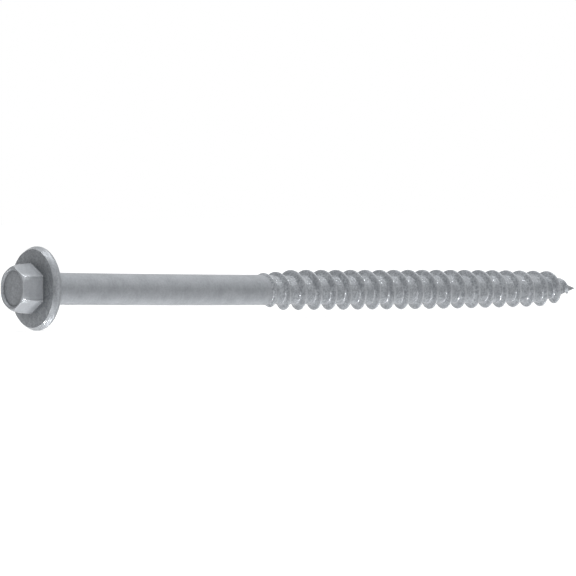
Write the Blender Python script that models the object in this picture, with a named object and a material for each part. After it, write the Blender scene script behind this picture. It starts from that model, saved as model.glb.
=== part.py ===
"""Construction screw with a hexagon washer head, a smooth shank and a coarse wood thread.

The screw lies on the floor as it comes to rest, on its washer rim and on a thread crest.
Its axis runs along X with the head toward -X, and it drops a little toward the point.
"""

from math import atan, cos, pi, radians, sin, tan

import bmesh
import bpy
from mathutils import Matrix, Vector

MM = 0.001

# Faces around the axis, a multiple of twelve so that the hexagon keeps its corners
SIDES = 36

# Shank and point
SHANK_DIAMETER = 7.24 * MM
UNDER_HEAD_LENGTH = 159.4 * MM
POINT_HALF_ANGLE = radians(18.0)
POINT_SHOULDER_RADIUS = 1.8 * MM
SHOULDER_HALF_ANGLE = radians(12.0)
POINT_BLUNTING = 0.5 * MM

# Thread
THREAD_LENGTH = 101.1 * MM
THREAD_DIAMETER = 9.6 * MM
ROOT_DIAMETER = 6.8 * MM
THREAD_PITCH = 4.4 * MM
CREST_WIDTH = 0.4 * MM
CREST_EDGE_SHARE = 0.88
FLANK_ANGLE = radians(25.0)
START_SIDE = 27
RUN_IN_TURNS = 2.4
RUN_IN_POWER = 0.7
ROOT_RUN_IN_TURNS = 1.0
CREST_TAPER_LENGTH = 53.0 * MM
CREST_TAPER_LOSS = 0.64 * MM
CREST_NOSE_HALF_ANGLE = radians(31.0)
CREST_NOSE_BLUNTING = 0.25 * MM
BARE_POINT_LENGTH = 1.6 * MM

# Washer under the hexagon
WASHER_DIAMETER = 19.1 * MM
WASHER_THICKNESS = 2.05 * MM
WASHER_RISE_AT_HEXAGON = 0.28 * MM
WASHER_BEVEL_WIDTH = 0.93 * MM
WASHER_BEVEL_HEIGHT = 1.0 * MM
WASHER_BEVEL_POWER = 1.5
WASHER_BACK_ROUNDING = 0.8 * MM
SHANK_FILLET = 0.5 * MM

# Hexagon and its crown
HEX_ACROSS_FLATS = 10.0 * MM
HEX_HEIGHT = 5.12 * MM
HEX_DRAFT = radians(4.0)
CROWN_RIM_RADIUS = 4.5 * MM
CROWN_DROP = 1.2 * MM
RECESS_EDGE_RADIUS = 4.35 * MM
RECESS_FLOOR_RADIUS = 4.15 * MM
RECESS_DEPTH = 0.5 * MM

# Steps in each rounded profile
CROWN_STEPS = 7
BEVEL_STEPS = 4
BACK_ROUNDING_STEPS = 3
FILLET_STEPS = 3

SHARP_EDGE_ANGLE = radians(32.0)

SIDE_ANGLE = 2.0 * pi / SIDES
SHANK_RADIUS = SHANK_DIAMETER / 2.0
THREAD_RADIUS = THREAD_DIAMETER / 2.0
ROOT_RADIUS = ROOT_DIAMETER / 2.0
WASHER_RADIUS = WASHER_DIAMETER / 2.0
HEX_FOOT = -WASHER_THICKNESS - WASHER_RISE_AT_HEXAGON


def clear_scene():
    """Remove every object of the starting file."""
    for item in list(bpy.data.objects):
        bpy.data.objects.remove(item, do_unlink=True)


def galvanised_steel():
    """Matt cool grey zinc coat."""
    material = bpy.data.materials.new("galvanised_steel")
    material.use_nodes = True
    shader = material.node_tree.nodes["Principled BSDF"]
    shader.inputs["Base Color"].default_value = (0.305, 0.319, 0.332, 1.0)
    shader.inputs["Roughness"].default_value = 0.55
    shader.inputs["Metallic"].default_value = 0.7
    return material


def around(position, radius, angle):
    """Point at a position along the axis, a radius from it and an angle about it."""
    return Vector((position, radius * cos(angle), radius * sin(angle)))


def hexagon_radius(position, angle):
    """Distance from the axis to the hexagon at an angle, less the draft toward the crown."""
    above_foot = HEX_FOOT - position
    apothem = HEX_ACROSS_FLATS / 2.0 - above_foot * tan(HEX_DRAFT)
    from_flat = (angle % (pi / 3.0)) - pi / 3.0
    if from_flat < -pi / 6.0:
        from_flat += pi / 3.0
    return apothem / cos(from_flat)


def head_profile():
    """Position and limiting radius of each ring from the recess floor to the hexagon foot."""
    crown = HEX_FOOT - HEX_HEIGHT
    corner_radius = hexagon_radius(crown, pi / 6.0)
    rings = [(crown + RECESS_DEPTH, RECESS_FLOOR_RADIUS)]
    rings.append((crown, RECESS_EDGE_RADIUS))
    rings.append((crown, CROWN_RIM_RADIUS))
    for step in range(1, CROWN_STEPS + 1):
        turn = pi / 2.0 * step / CROWN_STEPS
        drop = CROWN_DROP * (1.0 - cos(turn))
        growth = (corner_radius - CROWN_RIM_RADIUS) * sin(turn)
        rings.append((crown + drop, CROWN_RIM_RADIUS + growth))
    rings.append((HEX_FOOT, HEX_ACROSS_FLATS))
    return rings


def washer_profile():
    """Position and radius of each ring from the washer front to the end of the smooth shank."""
    rings = []
    for step in range(BEVEL_STEPS + 1):
        turn = pi / 2.0 * step / BEVEL_STEPS
        drop = WASHER_BEVEL_HEIGHT * (1.0 - max(0.0, cos(turn)) ** WASHER_BEVEL_POWER)
        inset = WASHER_BEVEL_WIDTH * (1.0 - sin(turn) ** WASHER_BEVEL_POWER)
        rings.append((-WASHER_THICKNESS + drop, WASHER_RADIUS - inset))
    for step in range(BACK_ROUNDING_STEPS + 1):
        turn = pi / 2.0 * step / BACK_ROUNDING_STEPS
        inset = WASHER_BACK_ROUNDING * (1.0 - cos(turn))
        rings.append((-WASHER_BACK_ROUNDING * (1.0 - sin(turn)), WASHER_RADIUS - inset))
    for step in range(FILLET_STEPS + 1):
        turn = pi / 2.0 * step / FILLET_STEPS
        height = SHANK_FILLET * (1.0 - cos(turn))
        rings.append((height, SHANK_RADIUS + SHANK_FILLET * (1.0 - sin(turn))))
    rings.append((UNDER_HEAD_LENGTH - THREAD_LENGTH, SHANK_RADIUS))
    return rings


def add_ring(points, position, radii, half_step):
    """Append one ring of points and return their numbers."""
    first = len(points)
    for side, radius in enumerate(radii):
        points.append(around(position, radius, (side + half_step) * SIDE_ANGLE))
    return list(range(first, len(points)))


def join_rings(faces, nearer, farther):
    """Quads between two rings that share their angles."""
    for side in range(SIDES):
        after = (side + 1) % SIDES
        faces.append((nearer[side], nearer[after], farther[after], farther[side]))


def join_offset_rings(faces, nearer, farther):
    """Triangles between a ring and one turned by half a side."""
    for side in range(SIDES):
        after = (side + 1) % SIDES
        faces.append((nearer[side], nearer[after], farther[side]))
        faces.append((nearer[after], farther[after], farther[side]))


def add_head(points, faces):
    """Hexagon with its recessed crown; returns the ring at the washer."""
    last = None
    for position, limit in head_profile():
        radii = []
        for side in range(SIDES):
            radii.append(min(limit, hexagon_radius(position, side * SIDE_ANGLE)))
        ring = add_ring(points, position, radii, 0.0)
        if last is None:
            points.append(Vector((position, 0.0, 0.0)))
            centre = len(points) - 1
            for side in range(SIDES):
                faces.append((centre, ring[(side + 1) % SIDES], ring[side]))
        else:
            join_rings(faces, last, ring)
        last = ring
    return last


def add_washer_and_shank(points, faces, hexagon_foot):
    """Washer, fillet and smooth shank; returns the ring where the thread begins."""
    last = None
    for position, radius in washer_profile():
        ring = add_ring(points, position, [radius] * SIDES, 0.5)
        if last is None:
            join_offset_rings(faces, hexagon_foot, ring)
        else:
            join_rings(faces, last, ring)
        last = ring
    return last


def core_radius(position):
    """Radius of the thread root, following the shoulder and the cone of the point."""
    to_tip = UNDER_HEAD_LENGTH - position
    beyond_cone = to_tip - POINT_SHOULDER_RADIUS / tan(POINT_HALF_ANGLE)
    cone = to_tip * tan(POINT_HALF_ANGLE)
    shoulder = POINT_SHOULDER_RADIUS + beyond_cone * tan(SHOULDER_HALF_ANGLE)
    return min(ROOT_RADIUS, cone, shoulder)


def crest_radius(position):
    """Radius of the thread crest, easing off toward the point and then following its nose."""
    to_tip = UNDER_HEAD_LENGTH - position
    into_taper = max(0.0, 1.0 - to_tip / CREST_TAPER_LENGTH)
    eased = THREAD_RADIUS - CREST_TAPER_LOSS * into_taper ** 2
    nose = (to_tip - CREST_NOSE_BLUNTING) * tan(CREST_NOSE_HALF_ANGLE)
    return max(core_radius(position), min(eased, nose))


def thread_profile():
    """Offset along the axis and share of the height of each point across one pitch."""
    run = (THREAD_RADIUS - ROOT_RADIUS) * tan(FLANK_ANGLE)
    half = CREST_WIDTH / 2.0
    return [
        (-half - run, 0.0),
        (-half, CREST_EDGE_SHARE),
        (0.0, 1.0),
        (half, CREST_EDGE_SHARE),
        (half + run, 0.0),
    ]


def thread_point(crest_position, turns, offset, share):
    """Position and radius of one profile point after a number of turns."""
    position = crest_position + offset
    run_in = min(1.0, turns / RUN_IN_TURNS) ** RUN_IN_POWER
    root_run_in = min(1.0, turns / ROOT_RUN_IN_TURNS)
    crest = SHANK_RADIUS + (crest_radius(position) - SHANK_RADIUS) * run_in
    root = SHANK_RADIUS + (core_radius(position) - SHANK_RADIUS) * root_run_in
    return position, root + (crest - root) * share


def add_thread(points, faces, shank_end):
    """Right-hand helix of thread profiles from the shank to the blunt point."""
    profile = thread_profile()
    width = len(profile)
    first_crest = UNDER_HEAD_LENGTH - THREAD_LENGTH + 2.0 * abs(profile[0][0])
    last_crest = UNDER_HEAD_LENGTH - BARE_POINT_LENGTH
    steps = int((last_crest - first_crest) / THREAD_PITCH * SIDES)
    point_end = UNDER_HEAD_LENGTH - POINT_BLUNTING
    rows = []
    for step in range(steps + SIDES + 1):
        turns = step / SIDES
        angle = (START_SIDE + 0.5 + step) * SIDE_ANGLE
        row = []
        for offset, share in profile:
            crest = first_crest + turns * THREAD_PITCH
            position, radius = thread_point(crest, turns, offset, share)
            if step > steps:
                position = min(position, point_end)
                radius = core_radius(position)
            row.append(len(points))
            points.append(around(position, radius, angle))
            if step > steps:
                break
        rows.append(row)
    for step in range(steps):
        near = rows[step] + [rows[step + SIDES][0]]
        far = rows[step + 1] + [rows[step + 1 + SIDES][0]]
        for cell in range(width):
            faces.append((near[cell], far[cell], far[cell + 1], near[cell + 1]))
    close_thread_start(faces, shank_end, rows)
    close_thread_end(points, faces, rows, steps)


def close_thread_start(faces, shank_end, rows):
    """Faces between the last shank ring and the first turn of the thread."""
    ring = shank_end[START_SIDE % SIDES:] + shank_end[:START_SIDE % SIDES]
    for side in range(SIDES - 1):
        faces.append((ring[side], ring[side + 1], rows[side + 1][0], rows[side][0]))
    seam = [ring[0]] + rows[0] + [rows[SIDES][0]]
    for lower, upper in zip(seam, seam[1:]):
        faces.append((ring[-1], lower, upper))
    faces.append((ring[-1], seam[-1], rows[SIDES - 1][0]))


def close_thread_end(points, faces, rows, steps):
    """Faces between the last turn of the thread and the tip."""
    tip = len(points)
    points.append(Vector((UNDER_HEAD_LENGTH - POINT_BLUNTING / 2.0, 0.0, 0.0)))
    for step in range(steps + 1, steps + SIDES):
        faces.append((rows[step][0], rows[step + 1][0], tip))
    seam = rows[steps] + [rows[steps + SIDES][0], tip]
    for lower, upper in zip(seam, seam[1:]):
        faces.append((rows[steps + 1][0], upper, lower))


def rest_slope(points):
    """Slope of the floor that touches both the washer rim and a thread crest."""
    washer = [point for point in points if point.x <= 0.0]
    beyond = [point for point in points if point.x > 0.0]
    slope = 0.0
    for _ in range(4):
        foot = max(washer, key=lambda point: slope * point.x - point.z)
        slope = min((point.z - foot.z) / (point.x - foot.x) for point in beyond)
    return slope


def lay_down(points):
    """Turn the screw onto the floor and centre it over the origin."""
    turn = Matrix.Rotation(atan(rest_slope(points)), 3, "Y")
    turned = [turn @ point for point in points]
    low = min(point.z for point in turned)
    middle = (min(point.x for point in turned) + max(point.x for point in turned)) / 2.0
    return [point - Vector((middle, 0.0, low)) for point in turned]


def build_screw():
    """Make the one solid of the screw."""
    points = []
    faces = []
    hexagon_foot = add_head(points, faces)
    shank_end = add_washer_and_shank(points, faces, hexagon_foot)
    add_thread(points, faces, shank_end)
    mesh = bpy.data.meshes.new("screw")
    mesh.from_pydata(lay_down(points), [], faces)
    shell = bmesh.new()
    shell.from_mesh(mesh)
    bmesh.ops.recalc_face_normals(shell, faces=shell.faces)
    shell.to_mesh(mesh)
    shell.free()
    mesh.shade_smooth()
    mesh.set_sharp_from_angle(angle=SHARP_EDGE_ANGLE)
    mesh.materials.append(galvanised_steel())
    screw = bpy.data.objects.new("screw", mesh)
    bpy.context.scene.collection.objects.link(screw)


clear_scene()
build_screw()
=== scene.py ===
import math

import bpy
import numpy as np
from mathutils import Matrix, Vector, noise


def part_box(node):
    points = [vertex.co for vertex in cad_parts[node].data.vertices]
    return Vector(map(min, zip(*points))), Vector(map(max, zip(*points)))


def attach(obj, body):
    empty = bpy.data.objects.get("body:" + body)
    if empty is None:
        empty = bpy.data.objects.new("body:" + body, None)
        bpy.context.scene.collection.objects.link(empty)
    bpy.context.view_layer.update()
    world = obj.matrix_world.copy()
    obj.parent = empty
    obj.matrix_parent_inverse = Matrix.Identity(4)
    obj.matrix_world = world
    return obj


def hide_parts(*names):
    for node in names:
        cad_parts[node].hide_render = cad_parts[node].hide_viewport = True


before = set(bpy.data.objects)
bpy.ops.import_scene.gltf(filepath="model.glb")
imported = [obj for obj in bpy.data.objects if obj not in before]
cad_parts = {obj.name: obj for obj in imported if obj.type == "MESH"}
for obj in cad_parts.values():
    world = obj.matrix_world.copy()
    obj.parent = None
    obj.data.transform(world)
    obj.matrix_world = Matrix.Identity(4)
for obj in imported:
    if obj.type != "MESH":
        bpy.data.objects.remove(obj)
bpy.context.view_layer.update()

# Dresses the imported construction screw: a fine mesh of the same screw stands in for the
# plain solid, with rounded edges, the lumps and beads of its zinc coat and a zinc material.
# Positions run along the axis from the washer's underside, and angles round it from the +Y
# side upward. Each point of the mesh has a smoothness with painted light: 0 is plain zinc,
# 1 smooth zinc with a painted highlight, and -1 zinc darkened by painted shade.

MM = 0.001

# Where the solid lies: the middle of the washer's underside, and the tilt of the axis
ORIGIN = Vector((-75.7276 * MM, 0.0, 9.4805 * MM))
TILT = Matrix.Rotation(math.atan2(0.0344192, 0.9994075), 3, "Y")

# Points around the axis, a multiple of six so that every corner of the hexagon has one
SIDES = 120

# Shank and point; round parts are as wide as the flats between the solid's corners
SHANK_RADIUS = 3.565 * MM
SHANK_GAIN_AT_HEAD = 0.085 * MM
SHANK_GAIN_POWER = 1.2
LENGTH = 159.4 * MM
POINT_HALF_ANGLE = math.radians(18.0)
POINT_SHOULDER_RADIUS = 1.79 * MM
SHOULDER_HALF_ANGLE = math.radians(12.0)
SHOULDER_BLEND = 0.2 * MM
POINT_BLUNTING = 0.35 * MM
SHANK_STEP = 0.5 * MM

# The long shank sags a little between the washer and the crest that it rests on
SAG = 0.34 * MM
SAG_END = 148.0 * MM
SAG_POWER = 0.85

# Thread
SHANK_END = 58.3 * MM
FIRST_CREST = 60.018 * MM
START_ANGLE = math.radians(276.0)
THREAD_RADIUS = 4.781 * MM
ROOT_RADIUS = 3.387 * MM
PITCH = 4.4 * MM
LOWEST_FORM_WIDTH = 0.35
ROOT_RUN_IN_TURNS = 1.0
CREST_TAPER_LENGTH = 53.0 * MM
CREST_TAPER_LOSS = 0.64 * MM
CREST_NOSE_HALF_ANGLE = math.radians(28.5)
CREST_NOSE_BLUNTING = 0.25 * MM
CREST_NOSE_BLEND = 0.8 * MM
BARE_POINT_LENGTH = 2.0 * MM
ROOT_COLUMNS = 6
START_RINGS = 8
POINT_RINGS = 5
POINT_RING_GAP = 0.7 * MM
POINT_LINE_BLEND = 1.5 * MM

# Thread form: distance from the crest in millimetres, and share of the thread's height
THREAD_FORM = (
    (-1.05, 0.0), (-0.98, 0.015), (-0.92, 0.05), (-0.84, 0.12), (-0.69, 0.30),
    (-0.51, 0.52), (-0.33, 0.74), (-0.19, 0.91), (-0.08, 0.985), (0.0, 1.0),
    (0.08, 0.985), (0.19, 0.91), (0.33, 0.74), (0.50, 0.52), (0.66, 0.30),
    (0.79, 0.12), (0.86, 0.05), (0.92, 0.015), (0.99, 0.0),
)

# Uneven start of the thread: turns, share of its full height and shift in millimetres
THREAD_START = (
    (0.0, 0.0, 0.9), (0.5, 0.38, 0.5), (1.0, 0.44, 0.2), (1.5, 0.6, -0.4),
    (2.0, 0.98, -0.15), (2.5, 0.96, -0.2), (3.0, 1.0, -0.2), (4.0, 1.0, 0.05),
    (5.0, 1.0, 0.0),
)
START_TURNS, START_HEIGHTS, START_SHIFTS = zip(*THREAD_START)

# Smoothness and painted highlight of the thread: its form's lower feet, by number in the form,
# then the root on top and on its upper half, and how much darker the colour grows at the point
FOOT_SMOOTHNESS_AND_HIGHLIGHT = {0: 0.3, 1: 1.0, 2: 1.0, 3: 0.3, 15: 0.5, 16: 1.0, 17: 1.0, 18: 0.6}
TOP_ROOT_SMOOTHNESS_AND_HIGHLIGHT = 0.6
UPPER_ROOT_SMOOTHNESS_AND_HIGHLIGHT = 0.25
POINT_DARKENING = -0.4

# Beads of zinc on the thread: millimetres along the axis and degrees around it
BEADS = (
    (104.04, 207.8), (143.07, 203.8), (121.41, 205.4), (63.24, 142.1), (105.92, 191.6),
    (125.95, 210.4), (138.32, 187.0), (77.37, 205.7), (62.42, 151.0), (116.86, 196.6),
    (136.74, 190.8), (134.36, 202.7), (63.22, 205.2), (131.35, 149.8), (104.14, 221.8),
    (90.3, 38.0), (112.6, 301.0), (81.2, 74.0), (127.4, 342.0), (99.1, 12.0),
)
BEAD_RADIUS = 0.36 * MM
BEAD_HEIGHT = 0.12 * MM

# Washer
WASHER_RADIUS = 9.513 * MM
WASHER_THICKNESS = 2.05 * MM
WASHER_RISE_AT_HEXAGON = 0.28 * MM
WASHER_BACK_ROUNDING = 0.7 * MM
BEVEL_INSET = 0.66 * MM
SHANK_FILLET = 0.5 * MM
RIM_STEPS = 2
BACK_EDGE_STEPS = 8
UNDERSIDE_STEPS = 9
SHANK_FILLET_STEPS = 5

# Rings of the bevel: inset from the washer's rim and depth below its face in millimetres,
# and share of the rim's smoothness and painted light
BEVEL_FORM = (
    (0.64, 0.02, 0.6), (0.60, 0.07, 1.0), (0.46, 0.31, 1.0), (0.32, 0.54, 0.6),
    (0.21, 0.71, 0.2), (0.12, 0.86, 0.1), (0.05, 1.0, 0.1), (0.01, 1.12, 0.2),
    (0.0, 1.2, 0.2),
)
UNDERSIDE_SHARE = 0.2

# Degrees around the rim, and its smoothness and painted light: painted highlight on top and
# low on the front, painted shade between
RIM_SMOOTHNESS_AND_PAINTED_LIGHT = (
    (0.0, 0.2), (60.0, 0.6), (90.0, 1.0), (112.0, 0.7), (135.0, -0.3), (160.0, -0.2),
    (185.0, -0.5), (205.0, 0.3), (222.0, 1.0), (250.0, 0.8), (270.0, 0.6), (300.0, 0.4),
    (360.0, 0.2),
)
RIM_DEGREES, RIM_LEVELS = zip(*RIM_SMOOTHNESS_AND_PAINTED_LIGHT)

# Rings of the washer's face: share of the way from the hexagon to the bevel, and painted
# shade, darkest by the hexagon
FACE_FORM = (
    (0.06, -0.62), (0.13, -0.56), (0.25, -0.42), (0.38, -0.32), (0.51, -0.24),
    (0.64, -0.16), (0.77, -0.1), (0.9, -0.08), (0.98, -0.06), (1.0, -0.03),
)

# Hexagon
HEX_APOTHEM = 5.0 * MM
HEX_HEIGHT = 5.4 * MM
HEX_DRAFT = math.radians(4.0)
HEX_CORNER_ROUNDING = 0.35 * MM
HEX_FOOT_FILLET = 0.12 * MM
# Painted shade round the fillet at the hexagon's foot
HEX_FOOT_PAINTED_SHADE = -0.55
HEX_STEPS = 13
HEX_FOOT_STEPS = 4

# Crown of the hexagon, rounded from the rim of its recess to just beyond its corners
CROWN = -WASHER_THICKNESS - HEX_HEIGHT
CROWN_DROP = 1.5 * MM
CROWN_RIM_RADIUS = 4.5 * MM
CROWN_OVERRUN = 0.05 * MM
CROWN_BLEND = 0.16 * MM
CROWN_STEPS = 14
# Smoothness and painted highlight on the crown's rim; reach of the painted glints at its corners
CROWN_RIM_SMOOTHNESS_AND_HIGHLIGHT = 0.2
CORNER_GLINT_REACH = math.radians(13.0)

# How far points crowd toward the hexagon's corners, on its sides and on the crown's rim
CORNER_CROWDING = 0.7
CROWN_RIM_CROWDING = 0.21

# Rings of the recess: depth below the crown and radius in millimetres, and smoothness with
# painted light: painted shade where the floor meets the wall, painted highlight toward the rim
RECESS_FORM = (
    (0.55, 0.50, 0.0), (0.55, 1.10, 0.0), (0.55, 1.70, 0.0), (0.55, 2.30, 0.0),
    (0.55, 2.85, 0.0), (0.55, 3.30, 0.0), (0.55, 3.65, -0.2), (0.55, 3.87, -0.6),
    (0.54, 3.96, -0.4), (0.47, 4.04, -0.1), (0.34, 4.12, 0.1), (0.20, 4.20, 0.3),
    (0.08, 4.29, 0.4), (0.015, 4.41, 0.3),
)

# Height of a lump of 1 in the zinc coat, and the lumps on each part of the screw; near the
# tip, where the root is thinner than FULL_COAT_RADIUS, they shrink with it
LUMP_HEIGHT = 0.014 * MM
RECESS_LUMP = 1.3
HEXAGON_LUMP = 0.5
HEXAGON_FOOT_LUMP = 0.7
FACE_LUMP = 1.8
BEVEL_LUMP = 1.2
UNDERSIDE_LUMP = 0.9
SHANK_LUMP = 0.6
RUN_IN_LUMP = 0.7
CREST_LUMP = 1.2
ROOT_LUMP = 3.6
LAST_FOOT_LUMP = 1.0
POINT_LUMP = 0.5
FULL_COAT_RADIUS = 2.0 * MM

# Layers of noise in the coat's lumps: scale, offset and share of each
RELIEF_LAYERS = (
    (380.0, Vector((0.0, 0.0, 0.0)), 1.0),
    (950.0, Vector((7.0, 3.0, 1.0)), 0.55),
    (2300.0, Vector((1.0, 9.0, 4.0)), 0.3),
)

# Colours of the zinc: its two main greys, the flecks, the painted highlight on edges, the
# painted shade in hollows, and the painted shade and painted highlight that points carry
DARKER_ZINC = (0.322, 0.340, 0.363, 1.0)
LIGHTER_ZINC = (0.374, 0.391, 0.417, 1.0)
LIGHT_FLECK = (0.465, 0.490, 0.515, 1.0)
DARK_FLECK = (0.196, 0.209, 0.228, 1.0)
PAINTED_EDGE_HIGHLIGHT_COLOUR = (0.6, 0.62, 0.63, 1.0)
PAINTED_HOLLOW_SHADE_COLOUR = (0.13, 0.14, 0.15, 1.0)
PAINTED_SHADE_COLOUR = (0.05, 0.055, 0.06, 1.0)
PAINTED_HIGHLIGHT_COLOUR = (0.55, 0.572, 0.602, 1.0)


# Outlines of the screw

def smooth_min(first, second, blend):
    """The smaller of two lengths, eased into each other where they are close."""
    near = max(blend - abs(first - second), 0.0) / blend
    return min(first, second) - near * near * blend / 4.0


def way_along(value, start, end):
    """How far a value has come from start to end, held between 0 and 1."""
    return min(1.0, max(0.0, (value - start) / (end - start)))


def quarter(steps):
    """Sines and cosines of equal steps through a quarter turn, without the first."""
    turns = [math.pi / 2.0 * step / steps for step in range(1, steps + 1)]
    return [(math.sin(turn), math.cos(turn)) for turn in turns]


def side_angle(side, crowding):
    """Angle of one point around the axis, crowded toward the hexagon's corners."""
    angle = START_ANGLE + 2.0 * math.pi * side / SIDES
    return angle - crowding / 6.0 * math.sin(6.0 * (angle - math.pi / 6.0))


def from_nearest_corner(angle):
    """Angle from the hexagon's nearest corner, up to 30 degrees either way."""
    return (angle % (math.pi / 3.0)) - math.pi / 6.0


def hexagon_radius(position, angle):
    """Distance from the axis to the hexagon with its rounded corners."""
    above_washer = -WASHER_THICKNESS - position
    apothem = HEX_APOTHEM - above_washer * math.tan(HEX_DRAFT)
    from_corner = from_nearest_corner(angle)
    flat = apothem / math.cos(math.pi / 6.0 - abs(from_corner))
    centre = (apothem - HEX_CORNER_ROUNDING) / math.cos(math.pi / 6.0)
    across = centre * math.sin(from_corner)
    if abs(across) >= HEX_CORNER_ROUNDING:
        return flat
    corner = centre * math.cos(from_corner)
    corner += math.sqrt(HEX_CORNER_ROUNDING ** 2 - across ** 2)
    return min(flat, corner)


def shank_radius(position):
    """Radius of the smooth shank, a little thicker toward the head."""
    along = way_along(position, 0.0, SHANK_END)
    return SHANK_RADIUS + SHANK_GAIN_AT_HEAD * (1.0 - along ** SHANK_GAIN_POWER)


def core_radius(position):
    """Radius of the thread root, following the shoulder and the cone of the point."""
    to_tip = LENGTH - position
    beyond_cone = to_tip - POINT_SHOULDER_RADIUS / math.tan(POINT_HALF_ANGLE)
    cone = to_tip * math.tan(POINT_HALF_ANGLE)
    shoulder = POINT_SHOULDER_RADIUS + beyond_cone * math.tan(SHOULDER_HALF_ANGLE)
    return smooth_min(ROOT_RADIUS, min(cone, shoulder), SHOULDER_BLEND)


def crest_radius(position):
    """Radius of the thread crest, easing off toward the point and then following its nose."""
    to_tip = LENGTH - position
    into_taper = max(0.0, 1.0 - to_tip / CREST_TAPER_LENGTH)
    eased = THREAD_RADIUS - CREST_TAPER_LOSS * into_taper ** 2
    nose = (to_tip - CREST_NOSE_BLUNTING) * math.tan(CREST_NOSE_HALF_ANGLE)
    return max(core_radius(position), smooth_min(eased, nose, CREST_NOSE_BLEND))


def thread_limits(position, turns):
    """Root and crest radius at a position, after a number of turns."""
    run_in = np.interp(turns, START_TURNS, START_HEIGHTS)
    root_run_in = min(1.0, turns / ROOT_RUN_IN_TURNS)
    crest = SHANK_RADIUS + (crest_radius(position) - SHANK_RADIUS) * run_in
    root = SHANK_RADIUS + (core_radius(position) - SHANK_RADIUS) * root_run_in
    return root, max(crest, root)


def crest_position(turns):
    """Where the crest is after a number of turns, its first turns a little uneven."""
    return FIRST_CREST + turns * PITCH + np.interp(turns, START_TURNS, START_SHIFTS) * MM


def form_width(turns):
    """Width of the thread form, which narrows where the thread is low."""
    root, crest = thread_limits(crest_position(turns), turns)
    height = (crest - root) / (THREAD_RADIUS - ROOT_RADIUS)
    return LOWEST_FORM_WIDTH + (1.0 - LOWEST_FORM_WIDTH) * height


def form_start(turns):
    """Where the thread form begins after a number of turns, held back from the tip itself."""
    start = crest_position(turns) + THREAD_FORM[0][0] * MM * form_width(turns)
    return smooth_min(start, LENGTH - POINT_RING_GAP, POINT_LINE_BLEND)


def sag(position):
    """How far the axis lies below the straight line between its two rests."""
    along = max(0.0, position) / SAG_END
    if along < 1.0:
        return SAG * math.sin(math.pi * along ** SAG_POWER)
    return -SAG * math.pi * SAG_POWER * (along - 1.0)


# Points and faces

class Skin:
    """Points and faces of the screw, with how lumpy the coat is at each point and its smoothness and
    painted light.
    """

    def __init__(self):
        self.points = []
        self.faces = []
        self.lumps = []
        self.smoothness_and_painted_light = []

    def add(self, position, radius, angle, lump, smoothness_and_painted_light=0.0):
        """Append a point and return its number."""
        self.points.append((position, radius * math.cos(angle), radius * math.sin(angle)))
        self.lumps.append(lump)
        self.smoothness_and_painted_light.append(smoothness_and_painted_light)
        return len(self.points) - 1

    def ring(self, position, radius_at, crowding, lump, smoothness_and_painted_light=0.0):
        """Append a ring of points; radius_at and perhaps smoothness_and_painted_light give values at
        an angle.
        """
        numbers = []
        for side in range(SIDES):
            angle = side_angle(side, crowding)
            value = smoothness_and_painted_light(angle) if callable(smoothness_and_painted_light) else smoothness_and_painted_light
            numbers.append(self.add(position, radius_at(angle), angle, lump, value))
        return numbers

    def join(self, nearer, farther):
        """Quads between two rings."""
        for side in range(SIDES):
            after = (side + 1) % SIDES
            self.faces.append((nearer[side], nearer[after], farther[after], farther[side]))

    def weave(self, first, second):
        """Quads between two lines that run along the axis, with as many points in each."""
        for cell in range(len(first) - 1):
            self.faces.append((first[cell], second[cell], second[cell + 1], first[cell + 1]))

    def zip(self, first, second):
        """Triangles between two lines of points that run the same way along the axis."""
        on_first = 0
        on_second = 0
        while on_first < len(first) - 1 or on_second < len(second) - 1:
            near = (first[on_first], second[on_second])
            if on_second == len(second) - 1:
                step_first = True
            elif on_first == len(first) - 1:
                step_first = False
            else:
                next_first = self.points[first[on_first + 1]][0]
                step_first = next_first < self.points[second[on_second + 1]][0]
            if step_first:
                on_first += 1
                self.faces.append(near + (first[on_first],))
            else:
                on_second += 1
                self.faces.append(near + (second[on_second],))


# Radius, and smoothness with painted light, by angle

def even_radius(radius):
    """The same radius at every angle."""
    return lambda angle: radius


def crown_radius(position, limit):
    """Radius on the crown's rounding, where the hexagon is eased into a circle."""
    return lambda angle: smooth_min(limit, hexagon_radius(position, angle), CROWN_BLEND)


def hexagon_side(position, spread):
    """Radius of the hexagon with an even spread all round."""
    return lambda angle: hexagon_radius(position, angle) + spread


def face_radius(share):
    """Radius on the washer's face, this share of the way from the hexagon to the bevel."""
    foot = hexagon_side(-WASHER_THICKNESS - WASHER_RISE_AT_HEXAGON, HEX_FOOT_FILLET)
    bevel = WASHER_RADIUS - BEVEL_INSET
    return lambda angle: foot(angle) + (bevel - foot(angle)) * share


def corner_smoothness_and_glint(angle):
    """Smoothness and painted glint round the crown, strongest at the hexagon's corners."""
    return max(0.0, 1.0 - abs(from_nearest_corner(angle)) / CORNER_GLINT_REACH)


def rim_smoothness_and_painted_light(share):
    """Smoothness and painted light of a ring on the washer, this share of its rim's."""
    return lambda angle: share * np.interp(math.degrees(angle) % 360.0, RIM_DEGREES, RIM_LEVELS)


def thread_smoothness_and_highlight(column, share, angle):
    """Smoothness and painted highlight of a point of the thread form, at its lower feet and on top of
    its root.
    """
    height = math.sin(angle)
    if column in FOOT_SMOOTHNESS_AND_HIGHLIGHT:
        return FOOT_SMOOTHNESS_AND_HIGHLIGHT[column] * way_along(height, 0.0, -0.25)
    if share > 0.0:
        return 0.0
    upper = UPPER_ROOT_SMOOTHNESS_AND_HIGHLIGHT * way_along(height, -0.4, 0.0)
    return max(upper, TOP_ROOT_SMOOTHNESS_AND_HIGHLIGHT * way_along(height, 0.32, 0.42))


# Head and shank, as rings: position, radius by angle, crowding, lump, and smoothness with painted
# light of each

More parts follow.
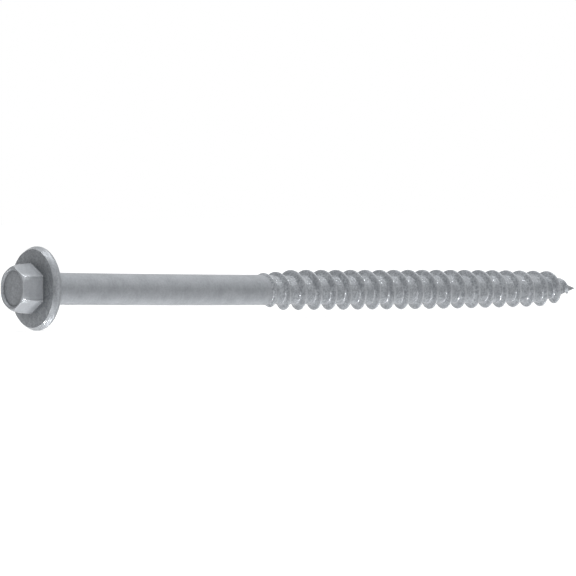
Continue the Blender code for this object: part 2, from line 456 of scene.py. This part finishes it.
def recess_rings():
    """From the middle of the recess's floor up to its rim."""
    rings = []
    for depth, radius, smoothness_and_painted_light in RECESS_FORM:
        rings.append((CROWN + depth * MM, even_radius(radius * MM), 0.0, RECESS_LUMP, smoothness_and_painted_light))
    return rings


def crown_rings():
    """From the crown's rim down its rounding, as far as the hexagon's corners."""
    rim = even_radius(CROWN_RIM_RADIUS)
    rings = [(CROWN, rim, CROWN_RIM_CROWDING, HEXAGON_LUMP, CROWN_RIM_SMOOTHNESS_AND_HIGHLIGHT)]
    gain = hexagon_radius(CROWN, math.pi / 6.0) + CROWN_OVERRUN - CROWN_RIM_RADIUS
    for sine, cosine in quarter(CROWN_STEPS):
        position = CROWN + CROWN_DROP * (1.0 - cosine)
        radius_at = crown_radius(position, CROWN_RIM_RADIUS + gain * sine)
        crowding = CROWN_RIM_CROWDING + (CORNER_CROWDING - CROWN_RIM_CROWDING) * sine
        rings.append((position, radius_at, crowding, HEXAGON_LUMP, corner_smoothness_and_glint))
    return rings


def hexagon_rings():
    """Down the hexagon's sides and round the fillet at its foot."""
    rings = []
    start = CROWN + CROWN_DROP
    foot = -WASHER_THICKNESS - WASHER_RISE_AT_HEXAGON - HEX_FOOT_FILLET
    for step in range(1, HEX_STEPS + 1):
        position = start + (foot - start) * step / HEX_STEPS
        side = hexagon_side(position, 0.0)
        rings.append((position, side, CORNER_CROWDING, HEXAGON_LUMP, 0.0))
    for sine, cosine in quarter(HEX_FOOT_STEPS):
        position = foot + HEX_FOOT_FILLET * sine
        side = hexagon_side(position, HEX_FOOT_FILLET * (1.0 - cosine))
        # Painted shade deepens round the fillet
        smoothness_and_painted_light = HEX_FOOT_PAINTED_SHADE * sine
        rings.append((position, side, CORNER_CROWDING, HEXAGON_FOOT_LUMP, smoothness_and_painted_light))
    return rings


def face_rings():
    """Across the washer's sloping face, from the hexagon to the bevel."""
    rings = []
    for share, smoothness_and_painted_light in FACE_FORM:
        position = -WASHER_THICKNESS - WASHER_RISE_AT_HEXAGON * (1.0 - share)
        crowding = CORNER_CROWDING * (1.0 - share)
        rings.append((position, face_radius(share), crowding, FACE_LUMP, smoothness_and_painted_light))
    return rings


def bevel_rings():
    """Down the bevel from the washer's face to its rim."""
    rings = []
    for inset, depth, share in BEVEL_FORM:
        position = -WASHER_THICKNESS + depth * MM
        radius_at = even_radius(WASHER_RADIUS - inset * MM)
        rings.append((position, radius_at, 0.0, BEVEL_LUMP, rim_smoothness_and_painted_light(share)))
    return rings


def underside_rings():
    """Down the washer's rim, round its back edge, and across its underside to the shank."""
    outline = []
    rim_start = -WASHER_THICKNESS + BEVEL_FORM[-1][1] * MM
    for step in range(1, RIM_STEPS + 1):
        position = rim_start + (-WASHER_BACK_ROUNDING - rim_start) * step / RIM_STEPS
        outline.append((position, WASHER_RADIUS))
    for sine, cosine in quarter(BACK_EDGE_STEPS):
        inset = WASHER_BACK_ROUNDING * (1.0 - cosine)
        outline.append((-WASHER_BACK_ROUNDING * (1.0 - sine), WASHER_RADIUS - inset))
    outer = WASHER_RADIUS - WASHER_BACK_ROUNDING
    inner = shank_radius(0.0) + SHANK_FILLET
    for step in range(1, UNDERSIDE_STEPS + 1):
        outline.append((0.0, outer + (inner - outer) * step / UNDERSIDE_STEPS))
    for sine, cosine in quarter(SHANK_FILLET_STEPS):
        position = SHANK_FILLET * (1.0 - cosine)
        outline.append((position, shank_radius(position) + SHANK_FILLET * (1.0 - sine)))
    smoothness_and_painted_light = rim_smoothness_and_painted_light(UNDERSIDE_SHARE)
    return [(place, even_radius(radius), 0.0, UNDERSIDE_LUMP, smoothness_and_painted_light) for place, radius in outline]


def shank_rings():
    """Along the shank from the fillet under the head to the thread."""
    rings = []
    steps = round((SHANK_END - SHANK_FILLET) / SHANK_STEP)
    for step in range(1, steps + 1):
        position = SHANK_FILLET + (SHANK_END - SHANK_FILLET) * step / steps
        rings.append((position, even_radius(shank_radius(position)), 0.0, SHANK_LUMP, 0.0))
    return rings


def add_rings(skin):
    """Head, washer and shank; returns the last ring of the shank."""
    rings = recess_rings() + crown_rings() + hexagon_rings()
    rings += face_rings() + bevel_rings() + underside_rings() + shank_rings()
    last = skin.ring(*rings[0])
    centre = skin.add(rings[0][0], 0.0, 0.0, RECESS_LUMP)
    for side in range(SIDES):
        skin.faces.append((centre, last[(side + 1) % SIDES], last[side]))
    for values in rings[1:]:
        ring = skin.ring(*values)
        skin.join(last, ring)
        last = ring
    return last


# Thread and point

def thread_columns(turns):
    """Position and share of height of each point across one pitch, up to the next turn."""
    crest = crest_position(turns)
    width = form_width(turns)
    columns = [(crest + offset * MM * width, share) for offset, share in THREAD_FORM]
    foot = columns[-1][0]
    next_start = form_start(turns + 1.0)
    for column in range(1, ROOT_COLUMNS):
        columns.append((foot + (next_start - foot) * column / ROOT_COLUMNS, 0.0))
    return columns


def add_thread_row(skin, turns, angle):
    """Points across one pitch of the thread; returns their numbers."""
    row = []
    for column, (position, share) in enumerate(thread_columns(turns)):
        root, crest = thread_limits(position, turns)
        coat = min(1.0, core_radius(position) / FULL_COAT_RADIUS)
        lump = (ROOT_LUMP + (CREST_LUMP - ROOT_LUMP) * share) * coat
        # Toward the point the painted highlight fades and the colour grows darker
        smoothness_and_painted_light = thread_smoothness_and_highlight(column, share, angle) * coat + POINT_DARKENING * (1.0 - coat)
        row.append(skin.add(position, root + (crest - root) * share, angle, lump, smoothness_and_painted_light))
    return row


def add_thread(skin, shank_end):
    """Right-hand helix of thread forms from the shank to the point, closed at both ends."""
    last_crest = LENGTH - BARE_POINT_LENGTH
    steps = int((last_crest - FIRST_CREST) / PITCH * SIDES)
    rows = []
    for step in range(steps + SIDES + 1):
        turns = step / SIDES
        angle = START_ANGLE + 2.0 * math.pi * turns
        if step > steps:
            start = form_start(turns)
            rows.append([skin.add(start, core_radius(start), angle, LAST_FOOT_LUMP)])
        else:
            rows.append(add_thread_row(skin, turns, angle))
    for step in range(steps):
        near = rows[step] + [rows[step + SIDES][0]]
        far = rows[step + 1] + [rows[step + 1 + SIDES][0]]
        skin.weave(near, far)
    close_thread_start(skin, shank_end, rows)
    close_thread_end(skin, rows, steps)


def close_thread_start(skin, ring, rows):
    """Faces between the last shank ring and the first turn of the thread."""
    lines = []
    for side in range(SIDES):
        line = [ring[side]]
        end = skin.points[rows[side][0]][0]
        for step in range(1, START_RINGS):
            position = SHANK_END + (end - SHANK_END) * step / START_RINGS
            line.append(skin.add(position, SHANK_RADIUS, side_angle(side, 0.0), RUN_IN_LUMP))
        line.append(rows[side][0])
        lines.append(line)
    for side in range(SIDES - 1):
        skin.weave(lines[side], lines[side + 1])
    seam = lines[0] + rows[0][1:] + [rows[SIDES][0]]
    skin.zip(lines[SIDES - 1] + [rows[SIDES][0]], seam)


def close_thread_end(skin, rows, steps):
    """Faces between the last turn of the thread and the tip."""
    tip = skin.add(LENGTH - POINT_BLUNTING / 2.0, 0.0, 0.0, 0.0)
    lines = []
    for side in range(1, SIDES + 1):
        angle = START_ANGLE + 2.0 * math.pi * (steps + side) / SIDES
        line = [rows[steps + side][0]]
        start = skin.points[line[0]][0]
        for step in range(1, POINT_RINGS + 1):
            share = step / POINT_RINGS
            position = start + (LENGTH - POINT_BLUNTING - start) * share
            lump = POINT_LUMP * (1.0 - share)
            line.append(skin.add(position, core_radius(position), angle, lump))
        lines.append(line)
    for side in range(SIDES - 1):
        skin.weave(lines[side], lines[side + 1])
        skin.faces.append((lines[side][-1], lines[side + 1][-1], tip))
    seam = rows[steps] + lines[-1]
    skin.zip(seam, [rows[steps][0]] + lines[0])
    skin.faces.append((lines[-1][-1], lines[0][-1], tip))


# Zinc coat

def coat_relief(point):
    """Height of the zinc coat's own unevenness at a point, from about -1 to 1."""
    height = 0.0
    for scale, offset, share in RELIEF_LAYERS:
        height += share * noise.noise(point * scale + offset)
    return height


def raise_coat(mesh, lumps, beads):
    """Move each point along its normal by the coat's unevenness and its beads."""
    normals = [vertex.normal.copy() for vertex in mesh.vertices]
    for vertex, normal, lump, bead in zip(mesh.vertices, normals, lumps, beads):
        height = coat_relief(vertex.co) * lump * LUMP_HEIGHT + bead * BEAD_HEIGHT
        vertex.co += normal * height


def seat_in_box(mesh, low, high):
    """Hold the skin inside the solid's box, so that it rests on the floor as the solid does."""
    for vertex in mesh.vertices:
        for axis in range(3):
            vertex.co[axis] = min(max(vertex.co[axis], low[axis]), high[axis])


def bead_shares(points):
    """How much of a bead of zinc each point carries, from 0 to 1."""
    places = np.array(points)
    radius = np.hypot(places[:, 1], places[:, 2])
    angle = np.arctan2(places[:, 2], places[:, 1])
    shares = np.zeros(len(places))
    for position, degrees in BEADS:
        turn = angle - math.radians(degrees)
        around = radius * np.arctan2(np.sin(turn), np.cos(turn))
        away = np.hypot(places[:, 0] - position * MM, around) / BEAD_RADIUS
        shares = np.maximum(shares, np.clip(1.0 - away ** 2, 0.0, 1.0))
    return shares


def read_vectors(items, name):
    """One vector of each of the mesh's items, as rows of an array."""
    values = np.empty(len(items) * 3)
    items.foreach_get(name, values)
    return values.reshape(-1, 3)


def signed_curvature(mesh, rounds):
    """How far each point stands out from its neighbours, smoothed a few times."""
    count = len(mesh.vertices)
    place = read_vectors(mesh.vertices, "co")
    normal = read_vectors(mesh.vertices, "normal")
    ends = np.empty(len(mesh.edges) * 2, dtype=np.int64)
    mesh.edges.foreach_get("vertices", ends)
    start, end = ends.reshape(-1, 2).T
    degree = np.bincount(ends, minlength=count)
    run = place[end] - place[start]
    length = np.linalg.norm(run, axis=1)
    rise_start = -np.einsum("ij,ij->i", run, normal[start]) / length
    rise_end = np.einsum("ij,ij->i", run, normal[end]) / length
    total = np.bincount(start, rise_start, count) + np.bincount(end, rise_end, count)
    value = total / degree
    for _ in range(rounds):
        spread = np.bincount(start, value[end], count) + np.bincount(end, value[start], count)
        value = 0.5 * value + 0.5 * spread / degree
    return value


def store(mesh, name, values):
    """Keep one number per point on the mesh for the material."""
    attribute = mesh.attributes.new(name, "FLOAT", "POINT")
    attribute.data.foreach_set("value", np.asarray(values, dtype=np.float32))


def build_skin():
    """The fine mesh of the whole screw."""
    skin = Skin()
    shank_end = add_rings(skin)
    add_thread(skin, shank_end)
    mesh = bpy.data.meshes.new("zinc_coated_screw")
    places = [ORIGIN + TILT @ Vector((x, y, z - sag(x))) for x, y, z in skin.points]
    mesh.from_pydata(places, [], skin.faces)
    mesh.validate()
    mesh.shade_smooth()
    beads = bead_shares(skin.points)
    raise_coat(mesh, skin.lumps, beads)
    low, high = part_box("screw")
    seat_in_box(mesh, low, high)
    smoothness_and_painted_light = np.array(skin.smoothness_and_painted_light)
    store(mesh, "ridge", signed_curvature(mesh, rounds=2))
    # Beads take full smoothness and a painted highlight on their raised zinc
    store(mesh, "smoothness_and_painted_light", smoothness_and_painted_light + beads * (1.0 - smoothness_and_painted_light))
    store(mesh, "coat", skin.lumps)
    screw = bpy.data.objects.new("zinc_coated_screw", mesh)
    bpy.context.scene.collection.objects.link(screw)
    return screw


# Materials

def link(tree, source, target):
    """Join one node's output to another's input."""
    tree.links.new(source, target)


def node(tree, kind, **settings):
    """Add a node; settings name its properties."""
    made = tree.nodes.new(kind)
    for name, value in settings.items():
        setattr(made, name, value)
    return made


def point_value(tree, name):
    """A number that is kept on the mesh's points."""
    return node(tree, "ShaderNodeAttribute", attribute_name=name).outputs["Fac"]


def noise_value(tree, place, scale, detail, squeeze=(1.0, 1.0, 1.0)):
    """Noise of a given scale; a squeeze under 1 draws its pattern out along that axis."""
    mapping = node(tree, "ShaderNodeMapping")
    mapping.inputs["Scale"].default_value = squeeze
    link(tree, place, mapping.inputs["Vector"])
    pattern = node(tree, "ShaderNodeTexNoise")
    pattern.inputs["Scale"].default_value = scale
    pattern.inputs["Detail"].default_value = detail
    link(tree, mapping.outputs["Vector"], pattern.inputs["Vector"])
    return pattern.outputs["Fac"]


def ranged(tree, value, from_low, from_high, to_low, to_high):
    """Map a value from one range to another, held at its ends."""
    mapped = node(tree, "ShaderNodeMapRange")
    mapped.inputs["From Min"].default_value = from_low
    mapped.inputs["From Max"].default_value = from_high
    mapped.inputs["To Min"].default_value = to_low
    mapped.inputs["To Max"].default_value = to_high
    link(tree, value, mapped.inputs["Value"])
    return mapped.outputs["Result"]


def product(tree, first, second):
    """Two values multiplied."""
    times = node(tree, "ShaderNodeMath", operation="MULTIPLY")
    link(tree, first, times.inputs[0])
    link(tree, second, times.inputs[1])
    return times.outputs[0]


def mixed(tree, share, first, second):
    """Mix a share of the second colour into the first, a colour or a node's output."""
    # The node's colours are its inputs 6 and 7 and its output 2
    mix = node(tree, "ShaderNodeMix", data_type="RGBA")
    link(tree, share, mix.inputs[0])
    if isinstance(first, bpy.types.NodeSocket):
        link(tree, first, mix.inputs[6])
    else:
        mix.inputs[6].default_value = first
    mix.inputs[7].default_value = second
    return mix.outputs[2]


def mottled_zinc(tree, blotch, streak, grain, coat):
    """Two greys in soft blotches, with light and dark flecks that are stronger on lumpy zinc."""
    colour = mixed(tree, ranged(tree, blotch, 0.38, 0.62, 0.0, 1.0), DARKER_ZINC, LIGHTER_ZINC)
    light = ranged(tree, streak, 0.45, 0.6, 0.0, 0.3)
    light = product(tree, light, ranged(tree, coat, 0.6, 2.2, 0.7, 2.6))
    colour = mixed(tree, light, colour, LIGHT_FLECK)
    dark = ranged(tree, grain, 0.42, 0.54, 0.26, 0.0)
    dark = product(tree, dark, ranged(tree, coat, 0.6, 2.2, 0.7, 2.8))
    return mixed(tree, dark, colour, DARK_FLECK)


def zinc_with_painted_light(tree, colour, ridge, smoothness_and_painted_light):
    """The colour with painted highlight on ridges, painted shade in hollows, and each point's painted
    light.
    """
    # Painted highlight on convex edges and painted shade in hollows
    colour = mixed(tree, ranged(tree, ridge, 0.02, 0.14, 0.0, 0.15), colour, PAINTED_EDGE_HIGHLIGHT_COLOUR)
    colour = mixed(tree, ranged(tree, ridge, -0.02, -0.12, 0.0, 0.5), colour, PAINTED_HOLLOW_SHADE_COLOUR)
    # Painted shade where a point's value is below 0, painted highlight where it is above
    colour = mixed(tree, ranged(tree, smoothness_and_painted_light, 0.0, -1.0, 0.0, 0.8), colour, PAINTED_SHADE_COLOUR)
    return mixed(tree, ranged(tree, smoothness_and_painted_light, 0.0, 1.0, 0.0, 0.6), colour, PAINTED_HIGHLIGHT_COLOUR)


def coat_bump(tree, streak, coat):
    """Fine bumps of the coat, too small for the mesh."""
    bump = node(tree, "ShaderNodeBump")
    bump.inputs["Distance"].default_value = 0.03 * MM
    link(tree, ranged(tree, coat, 0.5, 2.2, 0.1, 1.0), bump.inputs["Strength"])
    link(tree, streak, bump.inputs["Height"])
    return bump.outputs["Normal"]


def zinc_material():
    """Cool grey matt zinc with painted highlights and painted shade, smoother and more metallic where
    highlighted.
    """
    material = bpy.data.materials.new("galvanised_zinc")
    material.use_nodes = True
    tree = material.node_tree
    shader = tree.nodes["Principled BSDF"]
    place = node(tree, "ShaderNodeTexCoord").outputs["Object"]
    blotch = noise_value(tree, place, 330.0, 3.0)
    grain = noise_value(tree, place, 2400.0, 2.0)
    streak = noise_value(tree, place, 2100.0, 3.0, (1.0, 0.35, 0.35))
    coat = point_value(tree, "coat")
    smoothness_and_painted_light = point_value(tree, "smoothness_and_painted_light")
    colour = mottled_zinc(tree, blotch, streak, grain, coat)
    colour = zinc_with_painted_light(tree, colour, point_value(tree, "ridge"), smoothness_and_painted_light)
    matt = ranged(tree, blotch, 0.3, 0.7, 0.4, 0.5)
    roughness = product(tree, matt, ranged(tree, smoothness_and_painted_light, 0.0, 1.0, 1.0, 0.36))
    link(tree, colour, shader.inputs["Base Color"])
    link(tree, roughness, shader.inputs["Roughness"])
    link(tree, ranged(tree, smoothness_and_painted_light, 0.0, 1.0, 0.3, 0.5), shader.inputs["Metallic"])
    link(tree, coat_bump(tree, streak, coat), shader.inputs["Normal"])
    return material


def seen_directly(tree):
    """1 for rays that show a background: the camera's, reflected and refracted ones."""
    path = node(tree, "ShaderNodeLightPath")
    value = path.outputs["Is Camera Ray"]
    for name in ("Is Glossy Ray", "Is Transmission Ray"):
        larger = node(tree, "ShaderNodeMath", operation="MAXIMUM")
        link(tree, value, larger.inputs[0])
        link(tree, path.outputs[name], larger.inputs[1])
        value = larger.outputs[0]
    return value


def floor_material():
    """White floor that keeps the object's shadow and lets the lamps under it through."""
    material = bpy.data.materials.new("pale_floor")
    material.use_nodes = True
    tree = material.node_tree
    tree.nodes.remove(tree.nodes["Principled BSDF"])
    clear = node(tree, "ShaderNodeBsdfTransparent")
    shaded = node(tree, "ShaderNodeBsdfDiffuse")
    shaded.inputs["Color"].default_value = (0.35, 0.35, 0.35, 1.0)
    from_screw = node(tree, "ShaderNodeVectorMath", operation="LENGTH")
    link(tree, node(tree, "ShaderNodeTexCoord").outputs["Object"], from_screw.inputs[0])
    white = node(tree, "ShaderNodeEmission")
    # It glows less round the screw, where the lamps light the floor as well
    glow = ranged(tree, from_screw.outputs["Value"], 0.1, 0.5, 0.85, 1.0)
    link(tree, glow, white.inputs["Strength"])
    lit = node(tree, "ShaderNodeAddShader")
    link(tree, shaded.outputs[0], lit.inputs[0])
    link(tree, white.outputs[0], lit.inputs[1])
    mix = node(tree, "ShaderNodeMixShader")
    link(tree, node(tree, "ShaderNodeLightPath").outputs["Is Camera Ray"], mix.inputs[0])
    link(tree, clear.outputs[0], mix.inputs[1])
    link(tree, lit.outputs[0], mix.inputs[2])
    link(tree, mix.outputs[0], tree.nodes["Material Output"].inputs["Surface"])
    return material


def card_material(name, level):
    """Card that glows at a share of the level of the white surroundings."""
    material = bpy.data.materials.new(name)
    material.use_nodes = True
    shader = material.node_tree.nodes["Principled BSDF"]
    shader.inputs["Base Color"].default_value = (0.0, 0.0, 0.0, 1.0)
    shader.inputs["Roughness"].default_value = 0.9
    shader.inputs["Emission Color"].default_value = (level, level, level, 1.0)
    shader.inputs["Emission Strength"].default_value = 1.0
    return material


# Studio

def add_sheet(name, corners, faces, material):
    """A sheet of the studio, flat or folded."""
    mesh = bpy.data.meshes.new(name)
    mesh.from_pydata([Vector(corner) for corner in corners], [], faces)
    mesh.materials.append(material)
    sheet = bpy.data.objects.new(name, mesh)
    bpy.context.scene.collection.objects.link(sheet)
    return sheet


def add_floor():
    """The floor that the screw lies on."""
    reach = 8.0
    corners = ((-reach, -reach, 0.0), (reach, -reach, 0.0), (reach, reach, 0.0), (-reach, reach, 0.0))
    add_sheet("floor", corners, [(0, 1, 2, 3)], floor_material())


def add_cards():
    """Folded grey cards that the head's end faces and the sides toward the camera reflect."""
    behind = ((-0.95, 0.2), (-0.35, 0.9), (0.3, 1.0))
    in_front = ((0.25, -1.3), (0.6, -1.2), (0.95, -0.9))
    # Name, posts, lower and upper edge, and level
    cards = (
        ("card_behind_high", behind, 0.0, 0.9, 0.5),
        ("card_behind_low", behind, -0.9, 0.0, 0.92),
        ("card_in_front", in_front, -0.35, 0.35, 0.6),
    )
    for name, posts, low, high, level in cards:
        corners = [(x, y, low) for x, y in posts] + [(x, y, high) for x, y in posts]
        card = add_sheet(name, corners, [(0, 1, 4, 3), (1, 2, 5, 4)], card_material(name, level))
        card.visible_camera = False


def add_surroundings():
    """White surroundings that show at full strength and light the screw faintly."""
    world = bpy.data.worlds.new("studio")
    bpy.context.scene.world = world
    world.use_nodes = True
    tree = world.node_tree
    background = tree.nodes["Background"]
    background.inputs["Color"].default_value = (1.0, 1.0, 1.0, 1.0)
    level = ranged(tree, seen_directly(tree), 0.0, 1.0, 0.06, 1.0)
    link(tree, level, background.inputs["Strength"])


def add_lamp(name, place, power, length=0.6, width=0.6):
    """Soft box that looks at the screw."""
    lamp = bpy.data.lights.new(name, "AREA")
    lamp.shape = "RECTANGLE"
    lamp.size = length
    lamp.size_y = width
    lamp.energy = power
    lamp.cycles.use_multiple_importance_sampling = False
    holder = bpy.data.objects.new(name, lamp)
    holder.location = place
    holder.rotation_euler = (-Vector(place)).to_track_quat("-Z", "Y").to_euler()
    bpy.context.scene.collection.objects.link(holder)


def add_lamps():
    """Soft boxes above and beside the screw, and under the floor, which lets them through."""
    # Name, place in metres, power in watts, and size where it isn't the usual one
    add_lamp("overhead", (0.0, 0.0, 1.0), 6.4)
    add_lamp("over_camera", (0.0, -0.7, 0.7), 2.1, 1.2, 1.2)
    add_lamp("over_point", (0.6, -0.25, 0.7), 0.25, 0.8, 0.3)
    add_lamp("front", (-0.1, -1.0, 0.0), 1.45)
    add_lamp("head_side", (-0.9, -0.4, 0.0), 0.35)
    add_lamp("underneath", (0.0, 0.0, -1.0), 7.2)
    add_lamp("under_camera", (-0.1, -0.7, -0.7), 1.15, 0.3, 0.3)
    add_lamp("under_head", (-0.65, 0.45, -0.6), 0.9)
    add_lamp("under_corner", (-0.65, -0.38, -0.66), 0.75, 0.25, 0.25)


def add_camera():
    """Long lens at the photograph's angle, with the screw's axis level in the frame."""
    turn_from_side = math.radians(36.9)
    distance = 0.9205
    aim_along_axis = 69.91 * MM
    focal_pixels = 3904.0
    picture_pixels = 576.0
    pixels_below_middle = 0.5
    axis = TILT @ Vector((1.0, 0.0, 0.0))
    up = TILT @ Vector((0.0, 0.0, 1.0))
    away = Vector((0.0, 1.0, 0.0))
    look = axis * math.sin(turn_from_side) + away * math.cos(turn_from_side)
    right = axis * math.cos(turn_from_side) - away * math.sin(turn_from_side)
    aim = ORIGIN + axis * aim_along_axis
    lens = bpy.data.cameras.new("camera")
    lens.sensor_width = 36.0
    lens.lens = lens.sensor_width * focal_pixels / picture_pixels
    lens.clip_start = 0.05
    lens.clip_end = 30.0
    camera = bpy.data.objects.new("camera", lens)
    place = Matrix((right, up, -look)).transposed().to_4x4()
    place.translation = aim - look * distance + up * (pixels_below_middle / focal_pixels * distance)
    camera.matrix_world = place
    bpy.context.scene.collection.objects.link(camera)
    bpy.context.scene.camera = camera


def main():
    """Build the screw's skin and the studio round it."""
    screw = build_skin()
    screw.data.materials.append(zinc_material())
    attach(screw, "root")
    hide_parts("screw")
    add_floor()
    add_cards()
    add_surroundings()
    add_lamps()
    add_camera()
    bpy.context.scene.view_settings.view_transform = "Standard"


main()
